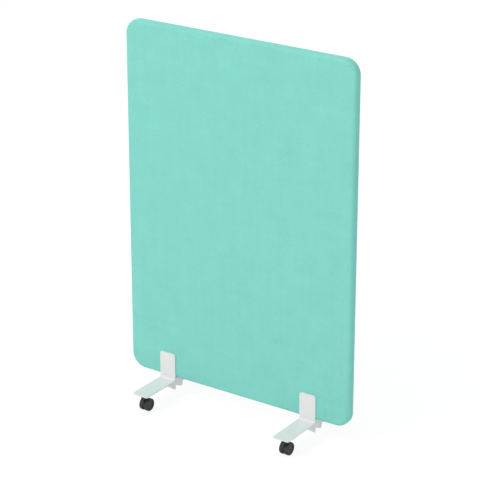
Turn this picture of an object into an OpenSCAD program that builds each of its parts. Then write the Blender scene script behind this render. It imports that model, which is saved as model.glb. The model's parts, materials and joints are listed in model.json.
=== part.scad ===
// Mobile acoustic divider screen: a padded panel clamped between two pairs of
// bent steel brackets, each bracket standing on a twin-wheel swivel castor.
// Millimetres. X runs along the panel's width, the front faces -Y, Z is up,
// and the origin is on the floor under the middle of the panel.

/* [Panel] */
// Width of the finished panel
panel_w = 1000; // [800:10:1800]
// Height of the finished panel
panel_h = 1412; // [900:2:1900]
// Thickness of the finished panel
panel_d = 40; // [36:1:60]
// Radius of the panel's corners, seen from the front
corner_r = 60; // [30:1:62]
// Radius of the soft edge between a face and the rim
edge_r = 14; // [8:1:16]
// Thickness of the fabric cover
cover_t = 1; // [0.6:0.1:2]
// Padding between the frame's rim and the cover
rim_padding = 8; // [6:0.5:14]
// Height of the panel's lower edge above the floor
floor_gap = 88; // [84:1:110]

/* [Frame and core] */
// Thickness of the frame and of the core slabs
frame_d = 20; // [14:1:24]
// Width of a stile, which is also the height of a rail
rail_w = 55; // [54:1:80]
// Height of the middle rail
middle_rail_h = 45; // [30:1:80]
// Width of the block that a pair of brackets clamps
block_w = 110; // [80:1:160]
// Height of that block above the bottom rail
block_h = 50; // [40:1:80]

/* [Brackets] */
// Distance from the panel's side edge to the middle of a bracket
foot_inset = 178; // [125:1:340]
// Width of a bracket's steel strip
bracket_w = 70; // [60:1:90]
// Thickness of the strip
plate_t = 5; // [4:0.5:6]
// How far a bracket's plate rises above the panel's lower edge
plate_rise = 100; // [92:1:160]
// How far an arm reaches out from its plate
arm_reach = 182; // [170:1:260]
// How far an arm's upper face lies below the panel's lower edge
arm_drop = 9; // [7:0.5:9]
// Inside radius of the bend between plate and arm
bend_r = 6; // [3:0.5:7]
// Radius of the plate's upper corners
plate_corner_r = 9; // [3:0.5:14]
// Radius of the corners at the arm's tip
tip_corner_r = 6; // [3:0.5:14]
// Thickness of a stiffening rib
rib_t = 4; // [3:0.5:5]
// Length of a rib, from the panel's face outward
rib_run = 56; // [54:1:80]
// Depth of a front rib's toe below the arm
front_rib_drop = 34; // [18:1:36]
// Depth of a rear rib's toe below the arm
rear_rib_drop = 16; // [15:1:36]
// Radius of a rib's toe
toe_r = 5; // [2:0.5:6]
// Length of the blank oval recess on a front plate
recess_l = 18; // [8:1:24]
// Height of the recess
recess_h = 7; // [4:0.5:10]
// Depth of the recess
recess_depth = 1.4; // [0.4:0.1:2]
// Height of the recess above the panel's lower edge
recess_rise = 7; // [6:0.5:12]

/* [Yokes] */
// Thickness of a yoke's sheet
yoke_t = 3; // [2:0.5:4]
// Gap between the panel's lower edge and the yoke's web
web_drop = 2; // [1:0.5:3]
// Depth of a cheek's lug below the panel's lower edge
lug_drop = 50; // [40:1:54]
// Reach of the lug behind the panel's middle plane
lug_reach = 31; // [28:1:36]
// Radius of the lug's lower corner
lug_corner_r = 9; // [4:0.5:9.5]
// Length of the lug's sloping lower edge
lug_run = 52; // [40:1:60]
// Depth of a cheek's tongues below the panel's lower edge
tongue_drop = 28; // [28:0.5:31]
// Reach of a tongue from the panel's middle plane
tongue_reach = 44; // [43:1:60]
// Radius of a tongue's lower corner
tongue_corner_r = 5; // [2:0.5:6]

/* [Clamp bolts] */
// Thread diameter of a clamp bolt
bolt_d = 8; // [6:1:8]
// Length of a clamp bolt under its head
bolt_l = 40; // [34:1:44]
// Diameter of its head
bolt_head_d = 14; // [12:0.5:18]
// Height of its head
bolt_head_h = 4.4; // [3:0.1:6]
// Width across the flats of its socket
bolt_socket_w = 5; // [3:0.5:6]
// Depth of its socket
bolt_socket_depth = 2.6; // [1:0.1:2.8]
// Height of the lower bolt above the panel's lower edge
bolt_low = 36; // [30:1:44]
// Height of the upper bolt above the panel's lower edge
bolt_high = 78; // [75:1:90]
// Outside diameter of a washer
washer_d = 18; // [16:0.5:24]
// Thickness of a washer
washer_t = 1.6; // [1:0.1:2.5]
// Outside diameter of the threaded boss behind a front plate
boss_d = 12; // [11:0.5:13]
// Length of that boss
boss_l = 22; // [18:1:30]
// Wall of the steel sleeve that the boss stands in
sleeve_wall = 1.8; // [1:0.1:2.5]

/* [Yoke screws] */
// Thread diameter of a yoke screw
screw_d = 5; // [4:0.5:6]
// Length of a yoke screw under its head
screw_l = 13; // [12:0.5:16]
// Diameter of its head
screw_head_d = 9.5; // [8:0.5:11]
// Height of its head
screw_head_h = 2.7; // [2:0.1:4]
// Width across the flats of its socket
screw_socket_w = 3; // [2:0.5:4]
// Depth of its socket
screw_socket_depth = 1.6; // [1:0.1:1.8]
// Distance of a screw from the panel's middle plane
screw_y = 38; // [36:1:39]
// Depth of a screw below the arm
screw_drop = 8; // [7:0.5:8.5]
// Width across the flats of its nut
nut_w = 8; // [7.5:0.5:10]
// Thickness of its nut
nut_t = 4; // [3:0.5:5]

/* [Castors] */
// Distance from an arm's tip to its castor's swivel axis
castor_inset = 26; // [22:1:40]
// Distance from the swivel axis to the wheels' axle
trail = 18; // [15:0.5:22]
// Diameter of a wheel over its tyre
wheel_d = 50; // [44:1:54]
// Width of one wheel
wheel_w = 14.5; // [12:0.5:18]
// Gap between the two wheels
wheel_gap = 8; // [7:0.5:9]
// Thickness of the tyre
tyre_t = 4; // [2.5:0.5:6]
// Radius of the tyre's shoulders
tyre_shoulder_r = 2.4; // [1:0.1:2.4]
// Width of the wheel's rim under the tyre
rim_t = 4; // [2:0.5:5]
// Diameter of the wheel's hub
hub_d = 12; // [9:0.5:16]
// Depth of the dish in the wheel's outer face
dish = 1.6; // [0.5:0.1:3]
// Thickness of the wheel's disc
disc_t = 3; // [2:0.5:5]
// Diameter of the axle
axle_d = 5; // [3:0.5:6]
// How far the axle reaches into a wheel
axle_reach = 10; // [7:0.5:11]
// Radius of the housing's web, round the axle
web_r = 21; // [14:0.5:21.5]
// Diameter of the housing's swivel boss
swivel_boss_d = 20; // [16:0.5:24]
// Gap between the boss and the top of the wheels
boss_gap = 1.5; // [1:0.5:3]
// Diameter of the swivel pin
pin_d = 8; // [6:0.5:10]
// Nylon left under the swivel pin's hole
pin_skin = 2; // [1:0.5:4]
// Width across the flats of the stem's collar
collar_w = 13; // [12:0.5:17]
// Height of the collar
collar_h = 4; // [3:0.5:5]
// Diameter of the stem's thread
stem_d = 8; // [6:0.5:10]
// Outside diameter of the socket under the arm
socket_d = 18; // [14:0.5:24]
// Height of that socket
socket_h = 5; // [4:0.5:6]
// Steel left above the socket's blind hole
blind_skin = 2; // [1:0.5:2.5]

/* [Clearances] */
// Gap between a soft layer and what lies against it
soft_gap = 0.3; // [0.1:0.1:0.6]
// Gap at a seat between two rigid pieces
seat_gap = 0.2; // [0.1:0.1:0.5]
// Radial gap of a bolt in its plain hole
hole_gap = 0.4; // [0.2:0.1:1]
// Radial gap of a thread, and of a pin or axle in the bore where it turns
turning_gap = 0.05; // [0.02:0.01:0.1]
// Radial gap of a pressed pin in its bore
press_gap = 0.02; // [0.01:0.01:0.05]
// Gap between a wheel and the housing's web
side_gap = 0.5; // [0.3:0.1:1]
// Gap between the stem's collar and the housing
swivel_gap = 0.5; // [0.3:0.1:0.8]

/* [Hidden] */
castor_names = ["front_left", "front_right", "rear_left", "rear_right"];
castor_sides = [[-1, -1], [1, -1], [-1, 1], [1, 1]];
castor_parts = ["stem", "housing", "axle", "inner_wheel", "outer_wheel", "inner_tyre", "outer_tyre"];
castor_nodes = [for (name = castor_names) for (part = castor_parts) str(name, "_", part)];
$fn = 64;

// Overrun of a cutting solid past the face that it cuts
cut_over = 2;
// How deep a slanting edge cuts into the round corner that it runs on to
edge_bite = 0.2;

half_w = panel_w / 2;
half_d = panel_d / 2;
panel_mid_z = floor_gap + panel_h / 2;

frame_inset = cover_t + soft_gap + rim_padding;
frame_half_w = half_w - frame_inset;
frame_low_z = floor_gap + frame_inset;
frame_high_z = floor_gap + panel_h - frame_inset;
frame_corner_r = min(corner_r - frame_inset, rail_w);
window_half_w = frame_half_w - rail_w;
window_low_z = frame_low_z + rail_w;
window_high_z = frame_high_z - rail_w;

arm_top_z = floor_gap - arm_drop;
arm_low_z = arm_top_z - plate_t;
arm_tip_y = half_d + plate_t + arm_reach;
castor_y = arm_tip_y - castor_inset;
bend_y = half_d + plate_t + bend_r;
bend_z = arm_top_z + bend_r;
rib_x = bracket_w / 2 - rib_t;
foot_x = half_w - foot_inset;

bolt_r = bolt_d / 2;
bolt_heights = [floor_gap + bolt_low, floor_gap + bolt_high];
sleeve_bore_r = boss_d / 2 + seat_gap;
sleeve_r = sleeve_bore_r + sleeve_wall;
head_y = half_d + plate_t + washer_t;

screw_z = arm_low_z - screw_drop;
lug_low_z = floor_gap - lug_drop;
tongue_low_z = floor_gap - tongue_drop;
web_z = floor_gap - web_drop - yoke_t;

wheel_r = wheel_d / 2;
core_r = wheel_r - tyre_t;
axle_z = wheel_r;
web_half_t = wheel_gap / 2 - side_gap;
collar_top_z = arm_low_z - socket_h;
collar_low_z = collar_top_z - collar_h;
boss_top_z = collar_low_z - swivel_gap;
boss_low_z = wheel_d + boss_gap;
pin_low_z = boss_low_z + pin_skin + swivel_gap;
thread_top_z = arm_top_z - blind_skin - swivel_gap;

fabric = "mediumaquamarine";
felt = "lightseagreen";
wood = "burlywood";
wool = "khaki";
white_steel = "whitesmoke";
zinc = "silver";
nylon = "dimgray";
rubber = "darkslategray";

// Where an edge from a point ends just inside a round corner, on the corner's left (1) or right (-1)
// side as seen from that point
function end_point(from, centre, arc_r, side) =
    let(
        away = from - centre, r = arc_r - edge_bite,
        turn = atan2(away[1], away[0]) + side * acos(r / norm(away))
    )
    centre + r * [cos(turn), sin(turn)];

// Cylinder along Y between two depths
module y_rod(r, y0, y1) {
    translate([0, y1, 0]) rotate([90, 0, 0]) cylinder(r = r, h = y1 - y0);
}

// Cylinder along X between two places
module x_rod(r, x0, x1) {
    translate([x0, 0, 0]) rotate([0, 90, 0]) cylinder(r = r, h = x1 - x0);
}

// Box between two corners
module box(low, high) {
    translate(low) cube(high - low);
}

// Rectangle between two corners
module area(low, high) {
    translate(low) square(high - low);
}

// Hexagonal prism along Z, given across its flats
module hexagon(across, h) {
    cylinder(d = across / cos(30), h = h, $fn = 6);
}

// Upright rectangle with a bow at each bottom corner
module round_bottom(low, high, r) {
    area([low[0], low[1] + r], high);
    area([low[0] + r, low[1]], [high[0] - r, high[1]]);
    translate([low[0] + r, low[1] + r]) circle(r);
    translate([high[0] - r, low[1] + r]) circle(r);
}

// Section through the panel's edge: reach runs outward, depth runs toward the face
module edge_section(reach, depth, edge) {
    square([reach - edge, depth]);
    square([reach, depth - edge]);
    translate([reach - edge, depth - edge]) circle(edge);
}

// One run of the edge section along Y, centred
module edge_run(run, reach, depth, edge) {
    translate([0, run / 2, 0]) rotate([90, 0, 0]) linear_extrude(run)
        intersection() {
            edge_section(reach, depth, edge);
            square([reach, depth]);
        }
}

// One corner of the edge section, turned a quarter round Z
module edge_corner(reach, depth, edge) {
    rotate_extrude(angle = 90)
        intersection() {
            edge_section(reach, depth, edge);
            square([reach, depth]);
        }
}

// Half of a soft-edged slab lying on its middle plane, all inset from the finished panel
module flat_half(inset) {
    reach = corner_r - inset;
    depth = half_d - inset;
    edge = edge_r - inset;
    straight_w = panel_w - corner_r * 2;
    straight_h = panel_h - corner_r * 2;
    translate([-straight_w / 2, -straight_h / 2, 0]) cube([straight_w, straight_h, depth]);
    for (side = [0, 180]) rotate([0, 0, side]) {
        translate([straight_w / 2, 0, 0]) edge_run(straight_h, reach, depth, edge);
        rotate([0, 0, 90]) translate([straight_h / 2, 0, 0]) edge_run(straight_w, reach, depth, edge);
        translate([straight_w / 2, straight_h / 2, 0]) edge_corner(reach, depth, edge);
        translate([-straight_w / 2, straight_h / 2, 0]) rotate([0, 0, 90]) edge_corner(reach, depth, edge);
    }
}

// The same half standing upright, with its face to the front
module front_half(inset) {
    translate([0, 0, panel_mid_z]) rotate([90, 0, 0]) flat_half(inset);
}

// Space that the frame fills, with an outset and a depth of its own
module frame_pocket(outset, depth) {
    r = frame_corner_r + outset;
    w = frame_half_w + outset;
    low = frame_low_z - outset;
    high = frame_high_z + outset;
    translate([0, depth, 0]) rotate([90, 0, 0]) linear_extrude(depth * 2) {
        area([-w, low + r], [w, high - r]);
        area([r - w, low], [w - r, high]);
        for (x = [r - w, w - r]) for (z = [low + r, high - r]) translate([x, z]) circle(r);
    }
}

// Something repeated at each clamp bolt of the feet named by their sides
module at_bolts(sides) {
    for (side = sides) for (z = bolt_heights) translate([side * foot_x, 0, z]) children();
}

// Holes for the sleeves, right through the panel
module sleeve_holes(gap) {
    at_bolts([-1, 1]) y_rod(sleeve_r + gap, -half_d - cut_over, half_d + cut_over);
}

// Timber of the frame between two places seen from the front, drilled for the sleeves
module timber(x0, x1, z0, z1) {
    color(wood) difference() {
        box([x0, -frame_d / 2, z0], [x1, frame_d / 2, z1]);
        sleeve_holes(seat_gap);
    }
}

// Upright side member of the frame
module stile(side) {
    outer = side * frame_half_w;
    inner = side * window_half_w;
    timber(min(outer, inner), max(outer, inner), window_low_z, window_high_z);
}

// Lower member of the frame
module bottom_rail() {
    timber(-window_half_w, window_half_w, frame_low_z, window_low_z);
}

// Upper member of the frame
module top_rail() {
    timber(-window_half_w, window_half_w, window_high_z, frame_high_z);
}

// Middle member of the frame, between the two windows
module middle_rail() {
    low = panel_mid_z - middle_rail_h / 2;
    timber(-window_half_w, window_half_w, low, low + middle_rail_h);
}

// Rounded block at one corner of the frame
module corner_block(side, up) {
    x = side * frame_half_w;
    z = up > 0 ? frame_high_z : frame_low_z;
    r = frame_corner_r;
    color(wood) translate([x, frame_d / 2, z]) mirror([side > 0 ? 1 : 0, 0, 0]) mirror([0, 0, up > 0 ? 1 : 0])
        rotate([90, 0, 0]) linear_extrude(frame_d) {
            area([0, r], [rail_w, rail_w]);
            area([r, 0], [rail_w, rail_w]);
            intersection() {
                square([r, r]);
                translate([r, r]) circle(r);
            }
        }
}

// Block that a pair of brackets clamps, standing on the bottom rail
module mounting_block(side) {
    mid = side * foot_x;
    timber(mid - block_w / 2, mid + block_w / 2, window_low_z, window_low_z + block_h);
}

// Sound-absorbing slab in the upper window
module upper_core() {
    color(wool) box(
        [soft_gap - window_half_w, -frame_d / 2, panel_mid_z + middle_rail_h / 2 + soft_gap],
        [window_half_w - soft_gap, frame_d / 2, window_high_z - soft_gap]
    );
}

// Sound-absorbing slab in the lower window, notched round the mounting blocks
module lower_core() {
    notch = block_w / 2 + soft_gap;
    color(wool) difference() {
        box(
            [soft_gap - window_half_w, -frame_d / 2, window_low_z + soft_gap],
            [window_half_w - soft_gap, frame_d / 2, panel_mid_z - middle_rail_h / 2 - soft_gap]
        );
        for (mid = [-foot_x, foot_x]) box(
            [mid - notch, -frame_d, window_low_z - cut_over],
            [mid + notch, frame_d, window_low_z + block_h + soft_gap]
        );
    }
}

// Felt layer over the frame's front and the front half of its rim
module front_padding() {
    color(felt) difference() {
        front_half(cover_t + soft_gap);
        frame_pocket(soft_gap, frame_d / 2);
        sleeve_holes(soft_gap);
    }
}

// Felt layer over the frame's rear and the rear half of its rim
module rear_padding() {
    mirror([0, 1, 0]) front_padding();
}

// Front half of the fabric cover, from the face round the edge to the rim's middle
module front_cover() {
    color(fabric) difference() {
        front_half(0);
        translate([0, cover_t, 0]) front_half(cover_t);
        front_half(cover_t);
        sleeve_holes(soft_gap);
    }
}

// Rear half of the fabric cover
module rear_cover() {
    mirror([0, 1, 0]) front_cover();
}

// Steel tubes that keep the bolts from crushing the panel
module clamp_sleeves() {
    color(zinc) at_bolts([-1, 1]) difference() {
        y_rod(sleeve_r, -half_d, half_d);
        y_rod(sleeve_bore_r, -half_d - cut_over, half_d + cut_over);
    }
}

// Side view of the bent strip: depth runs outward, height runs up
module strip_section() {
    area([half_d, bend_z], [half_d + plate_t, floor_gap + plate_rise]);
    area([bend_y, arm_low_z], [arm_tip_y, arm_top_z]);
    intersection() {
        area([half_d, arm_low_z], [bend_y, bend_z]);
        translate([bend_y, bend_z]) difference() {
            circle(bend_r + plate_t);
            circle(bend_r);
        }
    }
}

// Side view of a stiffening rib with a round toe at its inner end and its upper edge inside the strip
module rib_section(inner_y, drop) {
    mid_z = arm_low_z + plate_t / 2;
    outer = [half_d + rib_run, arm_low_z];
    toe = [inner_y + toe_r, arm_low_z - drop + toe_r];
    polygon([
        [inner_y, mid_z], [inner_y, toe[1]], toe, end_point(outer, toe, toe_r, -1), outer, [outer[0], mid_z]
    ]);
    translate(toe) circle(toe_r);
}

// A side view given a width along X, with its outward direction turned to the rear
module widen(x0, x1) {
    translate([x0, 0, 0]) rotate([90, 0, 90]) linear_extrude(x1 - x0) children();
}

// What rounds off a square corner at the origin: the corner less its quarter circle
module corner_waste(r, h) {
    difference() {
        translate([-cut_over, -cut_over, 0]) cube([r + cut_over, r + cut_over, h]);
        translate([r, r, -cut_over]) cylinder(r = r, h = h + cut_over * 2);
    }
}

// Bent bracket with its ribs and castor socket, reaching to the rear from the middle of its foot
module plain_bracket(rib_inner_y, rib_drop) {
    half = bracket_w / 2;
    top_z = floor_gap + plate_rise;
    difference() {
        union() {
            widen(-half, half) strip_section();
            widen(-half, -rib_x) rib_section(rib_inner_y, rib_drop);
            widen(rib_x, half) rib_section(rib_inner_y, rib_drop);
            translate([0, castor_y, collar_top_z]) cylinder(d = socket_d, h = socket_h + plate_t / 2);
        }
        for (side = [0, 1]) mirror([side, 0, 0]) {
            translate([-half, half_d + plate_t + cut_over, top_z]) rotate([90, 0, 0]) mirror([0, 1, 0])
                corner_waste(plate_corner_r, plate_t + cut_over * 2);
            translate([-half, arm_tip_y, arm_low_z - cut_over]) mirror([0, 1, 0])
                corner_waste(tip_corner_r, plate_t + cut_over * 2);
        }
        translate([0, castor_y, collar_top_z - cut_over])
            cylinder(r = stem_d / 2 + turning_gap, h = arm_top_z - blind_skin - collar_top_z + cut_over);
        for (side = [-1, 1]) translate([0, screw_y, screw_z])
            x_rod(screw_d / 2 + hole_gap, side * half - plate_t, side * half + plate_t);
    }
}

// Rear bracket, with plain holes for the clamp bolts
module rear_bracket(side) {
    color(white_steel) translate([side * foot_x, 0, 0]) difference() {
        plain_bracket(bend_y, rear_rib_drop);
        for (z = bolt_heights) translate([0, 0, z])
            y_rod(bolt_r + hole_gap, half_d - cut_over, half_d + plate_t + cut_over);
    }
}

// Front bracket, with threaded bosses in the sleeves and a blank oval recess
module front_bracket(side) {
    blind_y = half_d + plate_t - blind_skin;
    recess_run = (recess_l - recess_h) / 2;
    color(white_steel) translate([side * foot_x, 0, 0]) mirror([0, 1, 0]) difference() {
        union() {
            plain_bracket(half_d, front_rib_drop);
            for (z = bolt_heights) translate([0, 0, z])
                y_rod(boss_d / 2, half_d - boss_l, half_d + plate_t / 2);
        }
        for (z = bolt_heights) translate([0, 0, z])
            y_rod(bolt_r + turning_gap, half_d - boss_l - cut_over, blind_y);
        translate([0, half_d + plate_t + cut_over, floor_gap + recess_rise])
            rotate([90, 0, 0]) linear_extrude(recess_depth + cut_over) {
                square([recess_run * 2, recess_h], center = true);
                for (x = [-recess_run, recess_run]) translate([x, 0]) circle(d = recess_h);
            }
    }
}

// Side view of the lug under a cheek, whose lower edge slopes down from the front to a round corner
module lug_section() {
    root_z = tongue_low_z + tongue_corner_r;
    corner = [lug_reach - lug_corner_r, lug_low_z + lug_corner_r];
    front = [corner[0] - lug_run, tongue_low_z];
    polygon([
        [front[0], root_z], front, end_point(front, corner, lug_corner_r, 1), corner,
        [lug_reach, corner[1]], [lug_reach, root_z]
    ]);
    translate(corner) circle(lug_corner_r);
}

// Steel channel under the panel, whose cheeks have tongues that are screwed to the ribs
module yoke(side) {
    web_y = half_d - seat_gap;
    color(white_steel) translate([side * foot_x, 0, 0]) difference() {
        union() {
            box([-rib_x, -web_y, web_z], [rib_x, web_y, web_z + yoke_t]);
            for (x0 = [-rib_x, rib_x - yoke_t]) widen(x0, x0 + yoke_t) {
                area([-web_y, tongue_low_z], [web_y, web_z + yoke_t]);
                lug_section();
                round_bottom([-tongue_reach, tongue_low_z], [tongue_reach, arm_low_z - seat_gap],
                    tongue_corner_r);
            }
        }
        for (y = [-screw_y, screw_y]) translate([0, y, screw_z])
            x_rod(screw_d / 2 + hole_gap, -bracket_w, bracket_w);
    }
}

// Button-headed socket screw along Z, with its shank below zero
module button_screw(d, l, head_d, head_h, socket_w, socket_depth) {
    low_h = head_h / 3;
    difference() {
        union() {
            translate([0, 0, -l]) cylinder(d = d, h = l);
            cylinder(d = head_d, h = low_h);
            translate([0, 0, low_h]) cylinder(d1 = head_d, d2 = head_d * 2 / 3, h = head_h - low_h);
        }
        translate([0, 0, head_h - socket_depth]) hexagon(socket_w, socket_depth + cut_over);
    }
}

// Two bolts from the rear into the front bracket's bosses
module clamp_bolts(side) {
    color(zinc) at_bolts([side]) translate([0, head_y, 0]) rotate([-90, 0, 0])
        button_screw(bolt_d, bolt_l, bolt_head_d, bolt_head_h, bolt_socket_w, bolt_socket_depth);
}

// Washers under the heads of the clamp bolts
module clamp_washers() {
    color(zinc) at_bolts([-1, 1]) difference() {
        y_rod(washer_d / 2, head_y - washer_t, head_y);
        y_rod(bolt_r + hole_gap, half_d, head_y + cut_over);
    }
}

// Something repeated at each yoke screw, with X pointing out of the foot
module at_screws() {
    for (mid = [-foot_x, foot_x]) for (y = [-screw_y, screw_y]) for (turn = [0, 180])
        translate([mid, y, screw_z]) rotate([0, 0, turn]) children();
}

// Screws through the ribs into the yokes' cheeks
module yoke_screws() {
    color(white_steel) at_screws() translate([bracket_w / 2, 0, 0]) rotate([0, 90, 0])
        button_screw(screw_d, screw_l, screw_head_d, screw_head_h, screw_socket_w, screw_socket_depth);
}

// Their nuts, inside the cheeks
module yoke_nuts() {
    color(zinc) at_screws() translate([rib_x - yoke_t - nut_t, 0, 0]) rotate([0, 90, 0]) difference() {
        hexagon(nut_w, nut_t);
        translate([0, 0, -cut_over]) cylinder(r = screw_d / 2 + turning_gap, h = nut_t + cut_over * 2);
    }
}

// A castor's piece put in its place, where its front-right copy has the wheels trailing toward +Y
module at_castor(place) {
    translate([place[0] * foot_x, place[1] * castor_y, 0]) mirror([0, place[1] > 0 ? 1 : 0, 0]) children();
}

// Thread, hex collar and swivel pin of a castor, fixed in the arm
module castor_stem() {
    color(zinc) {
        translate([0, 0, collar_low_z]) hexagon(collar_w, collar_h);
        translate([0, 0, collar_top_z]) cylinder(d = stem_d, h = thread_top_z - collar_top_z);
        translate([0, 0, pin_low_z]) cylinder(d = pin_d, h = collar_low_z - pin_low_z);
    }
}

// Side view of the web between the wheels: depth toward the axle runs right, height runs up
module web_section() {
    axle = [trail, axle_z];
    front = [-swivel_boss_d / 2, boss_low_z];
    rear = [swivel_boss_d / 2, boss_low_z];
    translate(axle) circle(web_r);
    polygon([front, end_point(front, axle, web_r, 1), axle, end_point(rear, axle, web_r, -1), rear]);
    area([-swivel_boss_d / 2, boss_low_z], [swivel_boss_d / 2, boss_low_z + pin_skin]);
}

// Swivelling web and boss of a castor
module castor_housing() {
    color(nylon) difference() {
        union() {
            widen(-web_half_t, web_half_t) web_section();
            translate([0, 0, boss_low_z]) cylinder(d = swivel_boss_d, h = boss_top_z - boss_low_z);
        }
        translate([0, trail, axle_z])
            x_rod(axle_d / 2 + press_gap, -wheel_gap, wheel_gap);
        translate([0, 0, pin_low_z - swivel_gap])
            cylinder(r = pin_d / 2 + turning_gap, h = boss_top_z - pin_low_z + swivel_gap + cut_over);
    }
}

// Steel axle through both wheels
module castor_axle() {
    half_l = wheel_gap / 2 + axle_reach;
    color(zinc) translate([0, trail, axle_z]) x_rod(axle_d / 2, -half_l, half_l);
}

// Something turned round the axle, drawn as radius and distance from the wheel's inner face
module turned_on_axle(side) {
    translate([0, trail, axle_z]) mirror([side > 0 ? 0 : 1, 0, 0]) translate([wheel_gap / 2, 0, 0])
        rotate([0, 90, 0]) rotate_extrude() children();
}

// Nylon wheel with a dished outer face and a blind bore
module castor_wheel(side) {
    disc_out = wheel_w - dish;
    bore_end = axle_reach + swivel_gap;
    color(nylon) turned_on_axle(side) difference() {
        union() {
            square([hub_d / 2, disc_out]);
            area([0, disc_out - disc_t], [core_r - rim_t, disc_out]);
            area([core_r - rim_t, 0], [core_r, wheel_w]);
        }
        area([0, -cut_over], [axle_d / 2 + turning_gap, bore_end]);
    }
}

// Tread with rounded shoulders, pressed on the wheel
module castor_tyre(side) {
    r = tyre_shoulder_r;
    low = core_r + press_gap;
    color(rubber) turned_on_axle(side) intersection() {
        area([low, 0], [wheel_r, wheel_w]);
        union() {
            area([low, r], [wheel_r, wheel_w - r]);
            area([low, 0], [wheel_r - r, wheel_w]);
            for (x = [r, wheel_w - r]) translate([wheel_r - r, x]) circle(r);
        }
    }
}

// One named piece of the castor at a place
module castor_piece(part, place) {
    at_castor(place) {
        if (part == "stem") castor_stem();
        if (part == "housing") castor_housing();
        if (part == "axle") castor_axle();
        if (part == "inner_wheel") castor_wheel(-place[0]);
        if (part == "outer_wheel") castor_wheel(place[0]);
        if (part == "inner_tyre") castor_tyre(-place[0]);
        if (part == "outer_tyre") castor_tyre(place[0]);
    }
}

stile(-1);  // left_stile
stile(1);  // right_stile
top_rail();
bottom_rail();
middle_rail();
corner_block(-1, 1);  // top_left_corner
corner_block(1, 1);  // top_right_corner
corner_block(-1, -1);  // bottom_left_corner
corner_block(1, -1);  // bottom_right_corner
mounting_block(-1);  // left_mounting_block
mounting_block(1);  // right_mounting_block
upper_core();
lower_core();
front_padding();
rear_padding();
front_cover();
rear_cover();
clamp_sleeves();
front_bracket(-1);  // left_front_bracket
rear_bracket(-1);  // left_rear_bracket
front_bracket(1);  // right_front_bracket
rear_bracket(1);  // right_rear_bracket
yoke(-1);  // left_yoke
yoke(1);  // right_yoke
clamp_bolts(-1);  // left_clamp_bolts
clamp_bolts(1);  // right_clamp_bolts
clamp_washers();
yoke_screws();
yoke_nuts();
for (c = [0 : len(castor_names) - 1]) for (part = castor_parts)
    castor_piece(part, castor_sides[c]);
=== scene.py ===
import json
import math

import bmesh
import bpy
from mathutils import Matrix, Vector, noise


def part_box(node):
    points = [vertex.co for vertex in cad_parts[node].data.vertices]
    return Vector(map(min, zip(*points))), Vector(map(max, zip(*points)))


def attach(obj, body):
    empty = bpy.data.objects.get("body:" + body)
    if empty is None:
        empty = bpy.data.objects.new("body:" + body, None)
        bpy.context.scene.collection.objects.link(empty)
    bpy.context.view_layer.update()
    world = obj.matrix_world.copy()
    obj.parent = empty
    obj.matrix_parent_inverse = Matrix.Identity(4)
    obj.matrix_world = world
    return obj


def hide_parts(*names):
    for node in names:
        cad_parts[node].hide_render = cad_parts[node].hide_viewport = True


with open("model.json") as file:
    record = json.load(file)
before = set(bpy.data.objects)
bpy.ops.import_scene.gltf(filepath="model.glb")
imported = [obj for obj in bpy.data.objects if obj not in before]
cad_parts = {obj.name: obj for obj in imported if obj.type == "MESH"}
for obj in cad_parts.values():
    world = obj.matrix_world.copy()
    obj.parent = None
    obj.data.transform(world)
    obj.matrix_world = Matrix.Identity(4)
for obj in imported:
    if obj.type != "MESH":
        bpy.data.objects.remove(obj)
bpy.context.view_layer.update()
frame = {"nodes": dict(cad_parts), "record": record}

MM = 0.001

# The finished panel, read from the cover's box, and its two radii, which no box gives
COVER_LOW, COVER_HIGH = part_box("front_cover")
PANEL_HALF_W = COVER_HIGH.x
PANEL_HALF_D = -COVER_LOW.y
PANEL_HALF_H = (COVER_HIGH.z - COVER_LOW.z) / 2
PANEL_MID_Z = (COVER_HIGH.z + COVER_LOW.z) / 2
CORNER_R = 60 * MM
EDGE_R = 14 * MM

# The rectangle whose corners are the centres of the panel's corner arcs
ARC_HALF_W = PANEL_HALF_W - CORNER_R
ARC_HALF_H = PANEL_HALF_H - CORNER_R


# Colours

def linear(red, green, blue):
    """The linear colour of an sRGB one given from 0 to 255."""
    def one(c):
        c /= 255
        return c / 12.92 if c <= 0.04045 else ((c + 0.055) / 1.055) ** 2.4
    return one(red), one(green), one(blue)


def shade(rgb, factor=1.0):
    """A colour made lighter or darker, with its alpha."""
    return (*[min(1.0, c * factor) for c in rgb], 1.0)


TEAL = linear(134, 215, 202)
WHITE_COAT = linear(232, 232, 232)
BLACK_NYLON = linear(55, 58, 57)
BLACK_TREAD = linear(65, 68, 67)
ZINC = linear(196, 198, 200)
GREY_FELT = linear(205, 208, 204)
BUFF_WOOL = linear(186, 180, 158)
LATE_WOOD = linear(168, 128, 84)
EARLY_WOOD = linear(222, 190, 142)


# Nodes of a material

def put(tree, socket, value):
    """Links a socket to a value's node, or sets it."""
    if isinstance(value, bpy.types.NodeSocket):
        tree.links.new(value, socket)
    else:
        socket.default_value = value


def add(tree, kind, inputs=None, **settings):
    """A new node with its settings and its inputs, by name or number."""
    made = tree.nodes.new("ShaderNode" + kind)
    for key, value in settings.items():
        setattr(made, key, value)
    for key, value in (inputs or {}).items():
        put(tree, made.inputs[key], value)
    return made


def new_material(name):
    """A material with one Principled shader; returns it with its tree and shader."""
    made = bpy.data.materials.new(name)
    made.use_nodes = True
    tree = made.node_tree
    tree.nodes.clear()
    out = add(tree, "OutputMaterial")
    shader = add(tree, "BsdfPrincipled")
    tree.links.new(shader.outputs["BSDF"], out.inputs["Surface"])
    return made, tree, shader


def place(tree, stretch=(1, 1, 1)):
    """Object coordinates in metres, stretched along the axes."""
    found = add(tree, "TexCoord").outputs["Object"]
    return add(tree, "Mapping", {"Vector": found, "Scale": stretch}).outputs["Vector"]


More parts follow.
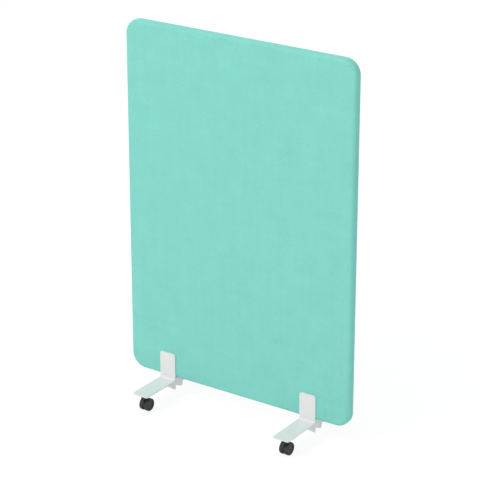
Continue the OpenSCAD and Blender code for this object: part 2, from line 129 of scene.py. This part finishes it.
def grain(tree, size, detail=2.0, rough=0.5, stretch=(1, 1, 1), laid=None):
    """Noise from 0 to 1 whose blotches are about size metres across, at a place or in the object."""
    made = add(tree, "TexNoise", {
        "Vector": laid or place(tree, stretch), "Scale": 1 / size, "Detail": detail, "Roughness": rough,
    })
    return made.outputs["Fac"]


def spread(tree, value, low, high, out_low=0.0, out_high=1.0):
    """Maps low..high of a value to out_low..out_high, clamped."""
    made = add(tree, "MapRange", {
        "Value": value, "From Min": low, "From Max": high, "To Min": out_low, "To Max": out_high,
    })
    return made.outputs["Result"]


def around_middle(tree, noise_value, reach, out_low=0.0, out_high=1.0):
    """Maps a noise value, from reach below its middle to reach above it, to out_low..out_high."""
    return spread(tree, noise_value, 0.5 - reach, 0.5 + reach, out_low, out_high)


def between(tree, share, first, second):
    """A colour from first to second by share."""
    made = add(tree, "Mix", data_type="RGBA")
    put(tree, made.inputs["Factor"], share)
    put(tree, made.inputs["A"], first)
    put(tree, made.inputs["B"], second)
    return made.outputs["Result"]


def total(tree, first, second, operation="ADD"):
    """Two values put together by a Math node."""
    return add(tree, "Math", {0: first, 1: second}, operation=operation).outputs["Value"]


def tint(tree, shader, share, rgb, dark, light):
    """Gives the shader a colour that goes from dark times rgb to light times rgb by share."""
    put(tree, shader.inputs["Base Color"], between(tree, share, shade(rgb, dark), shade(rgb, light)))


def roughen(tree, shader, noise_value, reach, low, high):
    """Gives the shader a roughness from low to high that follows a noise value around its middle."""
    put(tree, shader.inputs["Roughness"], around_middle(tree, noise_value, reach, low, high))


def emboss(tree, shader, pattern, height):
    """Gives the shader a bump that follows a pattern and is height metres high."""
    bump = add(tree, "Bump", {"Height": pattern, "Distance": height, "Strength": 1.0})
    put(tree, shader.inputs["Normal"], bump.outputs["Normal"])


# Cloth material

# Sizes of what shows in the cloth
YARN = 1.4 * MM
STRAY_L = 2.2 * YARN
FUZZ = 0.7 * MM
BLEND = 4.5 * MM
BLOTCH = 90 * MM
SLUB_L = 12 * MM
SLUB_D = 3.2 * MM
BAND_L = 220 * MM
BAND_D = 26 * MM
WEAVE_RELIEF = 0.22 * MM

# How much each of them lightens the cloth, and the shades that it stays between
# The weave's share is painted shade: it makes the cloth lighter on the raised yarns and darker in the
# hollows between them
WEAVE_SHADE_SHARE = 0.12
BLOTCH_SHARE = 0.35
BLEND_SHARE = 0.1
WARP_SHARE = 0.175
WEFT_SHARE = 0.15
CLOTH_DARK, CLOTH_LIGHT = 0.93, 1.07
SLUB_DARK, SLUB_LIGHT = 0.72, 1.26

# The noise that a slub starts above, and how far above it the slub is whole
LIGHT_SLUB_START = 0.712
DARK_SLUB_START = 0.708
SLUB_FADE = 0.06

# Shifts that read each pattern from its own part of the noise
LIGHT_SLUB_SHIFT = 3.0
DARK_SLUB_SHIFT = 61.0
SLUB_TURN_SHIFT = 11.0
WARP_SHIFT = 5.0
WEFT_SHIFT = 47.0


def stretched(tree, laid, along, across, shift):
    """A place on the cloth, scaled so that blotches of size 1 are along by across metres."""
    return add(tree, "Mapping", {
        "Vector": laid, "Scale": (1 / along, 1 / across, 1.0), "Location": (shift, shift, 0.0),
    }).outputs["Vector"]


def weave(tree, laid):
    """A plain weave of straying yarns, from 0 to 1."""
    stray = add(tree, "TexNoise", {"Vector": laid, "Scale": 1 / STRAY_L, "Detail": 2.0})
    moved = add(tree, "VectorMath", {0: stray.outputs["Color"], 1: (YARN, YARN, 0.0), 2: laid},
                operation="MULTIPLY_ADD").outputs["Vector"]
    sides = add(tree, "SeparateXYZ", {"Vector": moved}).outputs
    turns = [total(tree, sides[axis], math.pi / YARN, "MULTIPLY") for axis in "XY"]
    waves = [add(tree, "Math", {0: turn}, operation="SINE").outputs["Value"] for turn in turns]
    return spread(tree, total(tree, *waves, "MULTIPLY"), -1.0, 1.0)


def slubs(tree, laid, shift, start):
    """Thick spots along the yarns of both directions, from 0 to 1; a higher start leaves fewer."""
    found = []
    for along, across in ((SLUB_D, SLUB_L), (SLUB_L, SLUB_D)):
        shift += SLUB_TURN_SHIFT
        spots = grain(tree, 1.0, detail=1.0, laid=stretched(tree, laid, along, across, shift))
        found.append(spread(tree, spots, start, start + SLUB_FADE))
    return total(tree, *found, "MAXIMUM")


def bands(tree, laid, along, across, shift):
    """Faint uneven bands in the cloth, from 0 to 1."""
    found = grain(tree, 1.0, laid=stretched(tree, laid, along, across, shift))
    return around_middle(tree, found, reach=0.2)


def fabric_material():
    """Wool cloth: a plain weave of fuzzy yarn, with faint bands, light and dark slubs, and painted shade
    in the weave's hollows.
    """
    made, tree, shader = new_material("divider_fabric")
    laid = add(tree, "Attribute", attribute_name="cloth", attribute_type="GEOMETRY").outputs["Vector"]
    crossing = weave(tree, laid)
    fuzz = grain(tree, FUZZ, detail=3.0, rough=0.65, laid=laid)
    blotch = around_middle(tree, grain(tree, BLOTCH, detail=3.0, rough=0.55, laid=laid), reach=0.2)
    blend = around_middle(tree, grain(tree, BLEND, detail=3.0, rough=0.7, laid=laid), reach=0.2)
    warp = bands(tree, laid, BAND_D, BAND_L, WARP_SHIFT)
    weft = bands(tree, laid, BAND_L, BAND_D, WEFT_SHIFT)
    # Painted shade from the weave: lighter on the raised yarns, darker in the hollows between them
    tone = total(tree, crossing, WEAVE_SHADE_SHARE, "MULTIPLY")
    patterns = ((blotch, BLOTCH_SHARE), (blend, BLEND_SHARE), (warp, WARP_SHARE), (weft, WEFT_SHARE))
    for part, share in patterns:
        tone = total(tree, tone, total(tree, part, share, "MULTIPLY"))
    cloth = between(tree, tone, shade(TEAL, CLOTH_DARK), shade(TEAL, CLOTH_LIGHT))
    light = slubs(tree, laid, LIGHT_SLUB_SHIFT, LIGHT_SLUB_START)
    dark = slubs(tree, laid, DARK_SLUB_SHIFT, DARK_SLUB_START)
    cloth = between(tree, light, cloth, shade(TEAL, SLUB_LIGHT))
    cloth = between(tree, dark, cloth, shade(TEAL, SLUB_DARK))
    put(tree, shader.inputs["Base Color"], cloth)
    roughen(tree, shader, fuzz, reach=0.3, low=0.84, high=0.98)
    shader.inputs["Specular IOR Level"].default_value = 0.12
    shader.inputs["Sheen Weight"].default_value = 0.07
    shader.inputs["Sheen Roughness"].default_value = 0.5
    emboss(tree, shader, total(tree, crossing, fuzz), height=WEAVE_RELIEF)
    return made


# Other materials

def felt_material(name, rgb, fibre):
    """Pressed fibres, for the hidden layers."""
    made, tree, shader = new_material(name)
    strand = grain(tree, fibre, detail=4.0, rough=0.7, stretch=(1, 3, 1))
    tint(tree, shader, strand, rgb, dark=0.75, light=1.2)
    roughen(tree, shader, strand, reach=0.3, low=0.85, high=1.0)
    emboss(tree, shader, strand, height=0.6 * MM)
    return made


def timber_material():
    """Sawn softwood with rings along its length."""
    made, tree, shader = new_material("divider_timber")
    ring = add(tree, "TexWave", {
        "Vector": place(tree, stretch=(1, 1, 0.12)), "Scale": 60.0, "Distortion": 6.0, "Detail": 3.0,
    }).outputs["Fac"]
    pore = grain(tree, 3 * MM, detail=3.0, rough=0.6, stretch=(1, 1, 0.1))
    ring_share = 0.6
    tone = total(tree, total(tree, ring, ring_share, "MULTIPLY"),
                 total(tree, pore, 1 - ring_share, "MULTIPLY"))
    put(tree, shader.inputs["Base Color"], between(tree, tone, shade(LATE_WOOD), shade(EARLY_WOOD)))
    roughen(tree, shader, pore, reach=0.3, low=0.55, high=0.8)
    emboss(tree, shader, tone, height=0.15 * MM)
    return made


def coat_material():
    """White powder coat with a fine orange-peel skin."""
    made, tree, shader = new_material("divider_white_coat")
    peel = grain(tree, 1.6 * MM)
    cloud = grain(tree, 50 * MM)
    tint(tree, shader, cloud, WHITE_COAT, dark=0.97, light=1.01)
    roughen(tree, shader, peel, reach=0.2, low=0.42, high=0.56)
    shader.inputs["Specular IOR Level"].default_value = 0.45
    emboss(tree, shader, peel, height=0.03 * MM)
    return made


def moulded_material(name, rgb, rough_low, rough_high, gloss, skin):
    """Moulded plastic or rubber with a trace of dust and a fine skin, whose height is in metres."""
    made, tree, shader = new_material(name)
    fine = grain(tree, 0.9 * MM, rough=0.6)
    dust = spread(tree, grain(tree, 12 * MM, detail=4.0, rough=0.65), low=0.45, high=0.8)
    tint(tree, shader, dust, rgb, dark=0.92, light=1.25)
    roughen(tree, shader, fine, reach=0.25, low=rough_low, high=rough_high)
    shader.inputs["Specular IOR Level"].default_value = gloss
    emboss(tree, shader, fine, height=skin)
    return made


def zinc_material():
    """Bright zinc plating on turned steel."""
    made, tree, shader = new_material("divider_zinc")
    streak = grain(tree, 1.5 * MM, detail=3.0, rough=0.6, stretch=(1, 1, 4))
    tint(tree, shader, streak, ZINC, dark=0.82, light=1.1)
    roughen(tree, shader, streak, reach=0.3, low=0.28, high=0.45)
    shader.inputs["Metallic"].default_value = 1.0
    emboss(tree, shader, streak, height=0.02 * MM)
    return made


# The material of each slot in the record
MATERIALS = {
    "fabric": fabric_material(),
    "felt": felt_material("divider_felt", GREY_FELT, fibre=4 * MM),
    "core_wool": felt_material("divider_core_wool", BUFF_WOOL, fibre=7 * MM),
    "timber": timber_material(),
    "white_steel": coat_material(),
    "zinc_steel": zinc_material(),
    "nylon": moulded_material("divider_nylon", BLACK_NYLON, rough_low=0.42, rough_high=0.56,
                              gloss=0.22, skin=0.02 * MM),
    "tread": moulded_material("divider_tread", BLACK_TREAD, rough_low=0.6, rough_high=0.78,
                              gloss=0.15, skin=0.04 * MM),
}


# Carried-over CAD pieces

# How wide the sharp edges of each slot's pieces are rounded
EDGE_WIDTHS = {
    "white_steel": 0.6 * MM, "nylon": 0.35 * MM, "tread": 0.3 * MM, "zinc_steel": 0.25 * MM,
    "timber": 1.5 * MM,
}
WELD_GAP = 0.002 * MM
SHARP_ANGLE = math.radians(40)


def finish_cad_nodes():
    """Gives each CAD node its slot's material and rounds its sharp edges."""
    slots = {row["node"]: row["material_slot"] for row in frame["record"]["subparts"]}
    for name, piece in frame["nodes"].items():
        slot = slots[name]
        piece.data.materials.clear()
        piece.data.materials.append(MATERIALS[slot])
        if slot in EDGE_WIDTHS:
            soften(piece, EDGE_WIDTHS[slot])


def soften(piece, width):
    """Welds the imported corners and rounds the sharp edges, without changing the mesh itself."""
    weld = piece.modifiers.new("weld", "WELD")
    weld.merge_threshold = WELD_GAP
    bevel = piece.modifiers.new("bevel", "BEVEL")
    bevel.width = width
    bevel.segments = 2
    bevel.limit_method = "ANGLE"
    bevel.angle_limit = SHARP_ANGLE
    bevel.harden_normals = True
    bevel.use_clamp_overlap = True


# New pieces of the panel

MERGE_GAP = 0.01 * MM


def piece_from(bm, name, smooth=True):
    """A scene object from a bmesh."""
    mesh = bpy.data.meshes.new(name)
    bm.to_mesh(mesh)
    bm.free()
    for polygon in mesh.polygons:
        polygon.use_smooth = smooth
    made = bpy.data.objects.new(name, mesh)
    bpy.context.scene.collection.objects.link(made)
    return made


def stand_for(piece, node, slot):
    """Makes a new piece stand for a node of the screen, in its slot's material."""
    piece.data.materials.append(MATERIALS[slot])
    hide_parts(node)
    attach(piece, "screen")


def thicken(piece, thickness):
    """Gives a skin its thickness, inward from its outer face."""
    thick = piece.modifiers.new("thickness", "SOLIDIFY")
    thick.thickness = thickness
    thick.offset = -1


def lines(low, high, step, fine=(), fine_step=None):
    """Coordinates from low to high about a step apart, and fine_step apart within the fine ranges."""
    stops = sorted({low, high, *[s for pair in fine for s in pair if low < s < high]})
    found = [low]
    for start, end in zip(stops, stops[1:]):
        mid = (start + end) / 2
        near = any(a <= mid <= b for a, b in fine)
        count = max(1, math.ceil((end - start) / (fine_step if near else step)))
        found += [start + (end - start) * k / count for k in range(1, count + 1)]
    return found


def ring_points(xs, zs, radius, turns):
    """The panel's outline at a corner radius, round the rectangle that the lines xs and zs span."""
    centres = ((xs[-1], zs[0]), (xs[-1], zs[-1]), (xs[0], zs[-1]), (xs[0], zs[0]))
    runs = (
        [(x, zs[0] - radius) for x in xs[1:-1]],
        [(xs[-1] + radius, z) for z in zs[1:-1]],
        [(x, zs[-1] + radius) for x in reversed(xs[1:-1])],
        [(xs[0] - radius, z) for z in reversed(zs[1:-1])],
    )
    found = []
    for side, (run, (cx, cz)) in enumerate(zip(runs, centres)):
        found += run
        start = (side - 1) * math.pi / 2
        for k in range(turns + 1):
            angle = start + k * math.pi / 2 / turns
            found.append((cx + radius * math.cos(angle), cz + radius * math.sin(angle)))
    return found


def unrolled(profile):
    """Each profile point's distance along the skin from the profile's inner end."""
    found = [0.0]
    for (into, depth), (after_into, after_depth) in reversed(list(zip(profile, profile[1:]))):
        found.insert(0, found[0] + math.hypot(after_into - into, after_depth - depth))
    return found


# The skins' section at the rim: half the gap between the two halves, and the cloth's seam valley
HALF_GAP = 0.05 * MM
SEAM_DEEP = 1.1 * MM
SEAM_HALF_W = 1.3 * MM
SEAM_BEND_SHARE = 0.35
SEAM_BEND_Y = 0.4 * MM
EDGE_BENDS = 8


def edge_profile(edge, depth, into_end, step, seam=0.0):
    """The skin's section: a seam valley, the flat rim, the soft edge and the face's border.

    It lists (distance in from the outline, depth) pairs."""
    found = [(seam, HALF_GAP)]
    if seam:
        found += [(seam * SEAM_BEND_SHARE, SEAM_BEND_Y), (0.0, SEAM_HALF_W)]
    rim = depth - edge
    found.append((0.0, rim))
    for k in range(1, EDGE_BENDS + 1):
        angle = k * math.pi / 2 / EDGE_BENDS
        found.append((edge * (1 - math.cos(angle)), rim + edge * math.sin(angle)))
    count = max(2, math.ceil((into_end - edge) / step))
    found += [(edge + (into_end - edge) * k / count, depth) for k in range(1, count + 1)]
    return found


def add_grid(bm, grid, left_out=lambda mid: False):
    """Faces between the rows of a grid of vertices, except where left_out is true of a face's middle."""
    for row, above in zip(grid, grid[1:]):
        for k in range(len(row) - 1):
            if not left_out((row[k].co + above[k + 1].co) / 2):
                bm.faces.new((row[k], row[k + 1], above[k + 1], above[k]))


def skin_mesh(name, sign, inset, profile, xs, zs, turns, face_y):
    """Half of the panel's skin as a mesh, from the rim's middle line over the edge to the face.

    profile is an edge_profile that ends at the inner rectangle, and face_y gives the face's
    depth at a place, for a depth and the place's x and z. The mesh keeps each point's place on
    the unrolled cloth, for its weave."""
    bm = bmesh.new()
    cloth = bm.verts.layers.float_vector.new("cloth")

    def vertex(spot, depth, laid):
        x, z = spot
        made = bm.verts.new((x, sign * face_y(depth, x, z), z + PANEL_MID_Z))
        made[cloth] = (*laid, 0.0)
        return made

    rings = []
    for (into, depth), reach in zip(profile, unrolled(profile)):
        spots = ring_points(xs, zs, CORNER_R - inset - into, turns)
        laid_spots = ring_points(xs, zs, reach, turns)
        rings.append([vertex(spot, depth, laid) for spot, laid in zip(spots, laid_spots)])
    for outer, inner in zip(rings, rings[1:]):
        for k in range(len(outer)):
            after = (k + 1) % len(outer)
            bm.faces.new((outer[k], outer[after], inner[after], inner[k]))
    face_depth = profile[-1][1]
    add_grid(bm, [[vertex((x, z), face_depth, (x, z)) for x in xs] for z in zs])
    bmesh.ops.remove_doubles(bm, verts=bm.verts, dist=MERGE_GAP)
    bmesh.ops.recalc_face_normals(bm, faces=bm.faces)
    middle = max(bm.faces, key=lambda f: f.calc_area())
    if middle.normal.y * sign < 0:
        bmesh.ops.reverse_faces(bm, faces=bm.faces)
    return piece_from(bm, name)


# Cloth

CLOTH_THICK = 0.8 * MM
CLOTH_STEP = 20 * MM
CLOTH_FINE_STEP = 4 * MM
CLOTH_TURNS = 14

# The face swells by CROWN over about SWELL_L from its soft edge, and ripples there: WAVES are per
# metre, and PLACE is where the fine ones are read in the noise
CROWN = 1.1 * MM
SWELL_L = 45 * MM
RIPPLE = 0.22 * MM
WIDE_WAVES, FINE_WAVES = 9.0, 21.0
FINE_WAVE_SHARE = 0.5
FINE_WAVE_PLACE = 4.0

# The brackets' plates press it in by PRESSED, which fades over about HELD_L beside them
PLATES = [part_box(f"{side}_{end}_bracket") for side in ("left", "right") for end in ("front", "rear")]
PLATE_MARGIN = 22 * MM
PRESSED = 0.15 * MM
HELD_L = 9 * MM
FACE_SLACK = 0.1 * MM


def plate_distance(x, z):
    """Distance in the panel's plane from the nearest bracket plate, which is 0 behind it."""
    found = []
    for low, high in PLATES:
        dx = max(low.x - x, 0, x - high.x)
        dz = max(0, z + PANEL_MID_Z - high.z)
        found.append(math.hypot(dx, dz))
    return min(found)


def cloth_depth(depth, x, z):
    """The cloth's depth: full between the edges, drawn down behind and beside the brackets' plates."""
    if depth < PANEL_HALF_D - FACE_SLACK:
        return depth
    to_rim = min(PANEL_HALF_W - abs(x), PANEL_HALF_H - abs(z)) - EDGE_R
    swell = 1 - math.exp(-max(0.0, to_rim) / SWELL_L)
    held = 1 - math.exp(-((plate_distance(x, z) / HELD_L) ** 2))
    wide = noise.noise(Vector((x, 0.0, z)) * WIDE_WAVES)
    fine = noise.noise(Vector((x, FINE_WAVE_PLACE, z)) * FINE_WAVES)
    wave = wide + FINE_WAVE_SHARE * fine
    return depth - PRESSED * (1 - held) + (CROWN * swell + RIPPLE * wave * swell) * held


def make_covers():
    """The two cloth halves, which meet in a seam round the rim."""
    columns = [(low.x - PLATE_MARGIN, high.x + PLATE_MARGIN) for low, high in PLATES[::2]]
    top = max(high.z for low, high in PLATES) - PANEL_MID_Z + PLATE_MARGIN
    xs = lines(-ARC_HALF_W, ARC_HALF_W, CLOTH_STEP, columns, CLOTH_FINE_STEP)
    zs = lines(-ARC_HALF_H, ARC_HALF_H, CLOTH_STEP, [(-ARC_HALF_H, top)], CLOTH_FINE_STEP)
    profile = edge_profile(EDGE_R, PANEL_HALF_D, CORNER_R, CLOTH_FINE_STEP, seam=SEAM_DEEP)
    for name, sign in (("front", -1), ("rear", 1)):
        cloth = skin_mesh(f"{name}_fabric", sign, 0.0, profile, xs, zs, CLOTH_TURNS, cloth_depth)
        thicken(cloth, CLOTH_THICK)
        stand_for(cloth, f"{name}_cover", "fabric")


# Felt

FELT_THICK = 7.6 * MM
FELT_STEP = 40 * MM
FELT_BORDER_STEP = 12 * MM
FELT_TURNS = 10
FELT_FACE_Y = 15 * MM
FELT_FUZZ = 0.2 * MM
FELT_WAVES = 30.0
FELT_WAVE_PLACE = 2.0


def felt_depth(depth, x, z):
    """The felt's depth, with a fuzzy face."""
    if depth <= FELT_FACE_Y:
        return depth
    return depth - FELT_FUZZ * (1 + noise.noise(Vector((x, FELT_WAVE_PLACE, z)) * FELT_WAVES))


def make_felts():
    """The two felt layers behind the cloth."""
    low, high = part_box("front_padding")
    inset = PANEL_HALF_W - high.x
    xs = lines(-ARC_HALF_W, ARC_HALF_W, FELT_STEP)
    zs = lines(-ARC_HALF_H, ARC_HALF_H, FELT_STEP)
    profile = edge_profile(EDGE_R - inset, -low.y, CORNER_R - inset, FELT_BORDER_STEP)
    for name, sign in (("front", -1), ("rear", 1)):
        layer = skin_mesh(f"{name}_felt", sign, inset, profile, xs, zs, FELT_TURNS, felt_depth)
        thicken(layer, FELT_THICK)
        stand_for(layer, f"{name}_padding", "felt")


# Sound-absorbing slabs

CORE_STEP = 35 * MM
CORE_GAP = 0.1 * MM
NOTCH_GAP = 0.3 * MM
CORE_SOFT_R = 2.5 * MM
CORE_DENT_SHARE = 0.02
CORE_WAVES = 25.0


def core_mesh(low, high, blocks):
    """A slab between two corners, notched round the mounting blocks, with an uneven skin."""
    columns = [(start.x - NOTCH_GAP, end.x + NOTCH_GAP) for start, end in blocks]
    rows = [(low.z, end.z + NOTCH_GAP) for start, end in blocks]
    xs = lines(low.x, high.x, CORE_STEP, columns, CORE_STEP)
    zs = lines(low.z, high.z, CORE_STEP, rows, CORE_STEP)

    def in_block(mid):
        return any(start.x < mid.x < end.x and mid.z < end.z for start, end in blocks)

    bm = bmesh.new()
    add_grid(bm, [[bm.verts.new((x, low.y + CORE_GAP, z)) for x in xs] for z in zs], in_block)
    bmesh.ops.delete(bm, geom=[v for v in bm.verts if not v.link_faces], context="VERTS")
    far = bmesh.ops.extrude_face_region(bm, geom=list(bm.faces))["geom"]
    for v in far:
        if isinstance(v, bmesh.types.BMVert):
            v.co.y = high.y - CORE_GAP
    for v in bm.verts:
        v.co.y *= 1 - CORE_DENT_SHARE * (1 + noise.noise(v.co * CORE_WAVES))
    bmesh.ops.recalc_face_normals(bm, faces=bm.faces)
    return bm


def make_cores():
    """The two sound-absorbing slabs, with a fibrous uneven skin and soft edges."""
    for name, sides in (("upper", ()), ("lower", ("left", "right"))):
        blocks = [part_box(f"{side}_mounting_block") for side in sides]
        slab = piece_from(core_mesh(*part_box(f"{name}_core"), blocks), f"{name}_wool", smooth=False)
        soft = slab.modifiers.new("soft_edges", "BEVEL")
        soft.width = CORE_SOFT_R
        soft.segments = 3
        stand_for(slab, f"{name}_core", "core_wool")


# Studio

# The floor's plain part is a little over white, because the lit part that it is mixed with is under it
WORLD_LIGHT = 0.72
FLOOR_HALF = 30.0
FLOOR_TONE = 0.9
FLOOR_WHITE = 1.06
FLOOR_PLAIN_SHARE = 0.82
PURE_WHITE = (1, 1, 1, 1)
LAMP_AIM = Vector((0, 0, 0.8))


def seen_directly(tree):
    """1 for camera, glossy and transmission rays, which show the backdrop as plain white."""
    path = add(tree, "LightPath")
    seen = total(tree, path.outputs["Is Camera Ray"], path.outputs["Is Glossy Ray"], "MAXIMUM")
    return total(tree, seen, path.outputs["Is Transmission Ray"], "MAXIMUM")


def show(tree, kind, share, lit, plain):
    """Ends a tree with a mix from a lit shader to a plain one by share."""
    out = add(tree, kind)
    both = add(tree, "MixShader", {0: share, 1: lit.outputs[0], 2: plain.outputs[0]})
    tree.links.new(both.outputs[0], out.inputs["Surface"])


def make_world():
    """Even white light, seen as plain white."""
    world = bpy.data.worlds.new("studio")
    bpy.context.scene.world = world
    world.use_nodes = True
    tree = world.node_tree
    tree.nodes.clear()
    light = add(tree, "Background", {"Color": PURE_WHITE, "Strength": WORLD_LIGHT})
    plain = add(tree, "Background", {"Color": PURE_WHITE, "Strength": 1.0})
    show(tree, "OutputWorld", seen_directly(tree), light, plain)


def make_floor():
    """A white floor that keeps a soft part of the object's shadow."""
    bm = bmesh.new()
    bmesh.ops.create_grid(bm, x_segments=1, y_segments=1, size=FLOOR_HALF)
    floor = piece_from(bm, "floor", smooth=False)
    made = bpy.data.materials.new("studio_floor")
    made.use_nodes = True
    tree = made.node_tree
    tree.nodes.clear()
    lit = add(tree, "BsdfDiffuse", {"Color": (FLOOR_TONE, FLOOR_TONE, FLOOR_TONE, 1)})
    plain = add(tree, "Emission", {"Color": PURE_WHITE, "Strength": FLOOR_WHITE})
    share = total(tree, seen_directly(tree), FLOOR_PLAIN_SHARE, "MULTIPLY")
    show(tree, "OutputMaterial", share, lit, plain)
    floor.data.materials.append(made)


def make_lamp(name, spot, size, power):
    """A square softbox at a spot, facing the middle of the object."""
    light = bpy.data.lights.new(name, "AREA")
    light.size = size
    light.energy = power
    lamp = bpy.data.objects.new(name, light)
    lamp.location = spot
    lamp.rotation_mode = "QUATERNION"
    lamp.rotation_quaternion = (LAMP_AIM - Vector(spot)).to_track_quat("-Z", "Y")
    bpy.context.scene.collection.objects.link(lamp)


# The camera's lens, place and turn in radians, fitted to the panel's outline and the front feet
FRAME_PX = 480
CAMERA_FOCAL_PX = 2000
CAMERA_SPOT = (3.8924, -5.6757, 3.4634)
CAMERA_YAW = 0.6009
CAMERA_PITCH = 0.3789
SENSOR_W = 36


def make_camera():
    """The photograph's viewpoint, with a plain lens that isn't shifted."""
    data = bpy.data.cameras.new("camera")
    data.sensor_width = SENSOR_W
    data.lens = CAMERA_FOCAL_PX / FRAME_PX * SENSOR_W
    camera = bpy.data.objects.new("camera", data)
    camera.location = CAMERA_SPOT
    turn = Matrix.Rotation(CAMERA_YAW, 4, "Z") @ Matrix.Rotation(math.pi / 2 - CAMERA_PITCH, 4, "X")
    camera.rotation_mode = "QUATERNION"
    camera.rotation_quaternion = turn.to_quaternion()
    bpy.context.scene.collection.objects.link(camera)
    bpy.context.scene.camera = camera


make_camera()
make_world()
make_floor()
make_lamp("key", spot=(-2.5, -6.5, 8.5), size=3.0, power=380)
make_lamp("rear_fill", spot=(-3.5, 6.5, 5.0), size=4.0, power=120)

finish_cad_nodes()
make_covers()
make_felts()
make_cores()

bpy.context.scene.view_settings.view_transform = "Standard"
